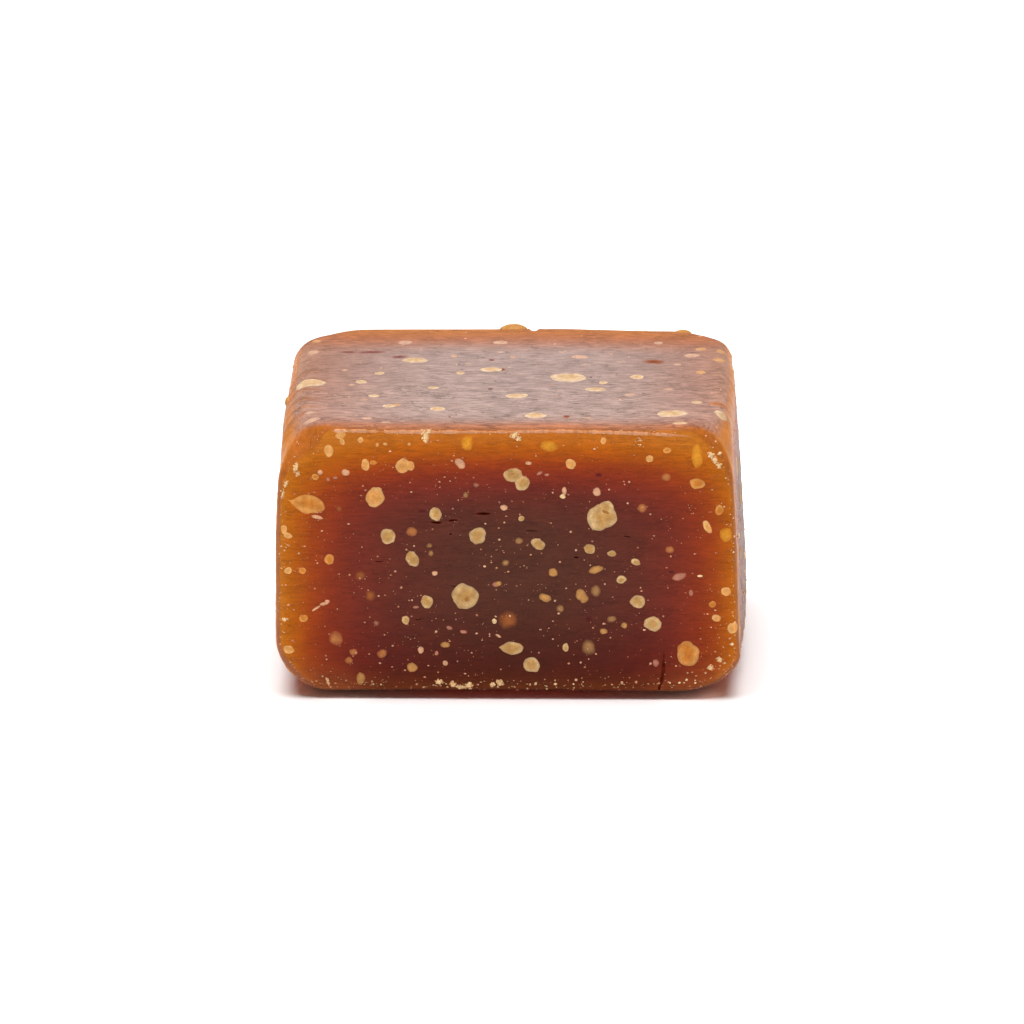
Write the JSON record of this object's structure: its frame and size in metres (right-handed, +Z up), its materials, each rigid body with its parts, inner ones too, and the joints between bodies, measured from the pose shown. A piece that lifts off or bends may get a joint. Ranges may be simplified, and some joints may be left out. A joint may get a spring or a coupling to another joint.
{
  "type": "jaggery block",
  "caption": "Rounded block of cane jaggery with drafted sides, soft shoulders, a flat front face and a level underside that it rests on.",
  "frame": {"origin": "middle of the block's outer box, on the plane it rests on", "axes": "+X to the right along the flat front face, +Y from the front face to the back, +Z up"},
  "size_m": [0.06, 0.056, 0.0362],
  "materials": {
    "jaggery": "waxy, translucent amber at the edges, dark plum-brown in the middle",
    "sugar_crumbs": "dull, grainy cream sugar"
  },
  "bodies": {
    "root": {"jaggery_block": "jaggery"}
  },
  "joints": []
}
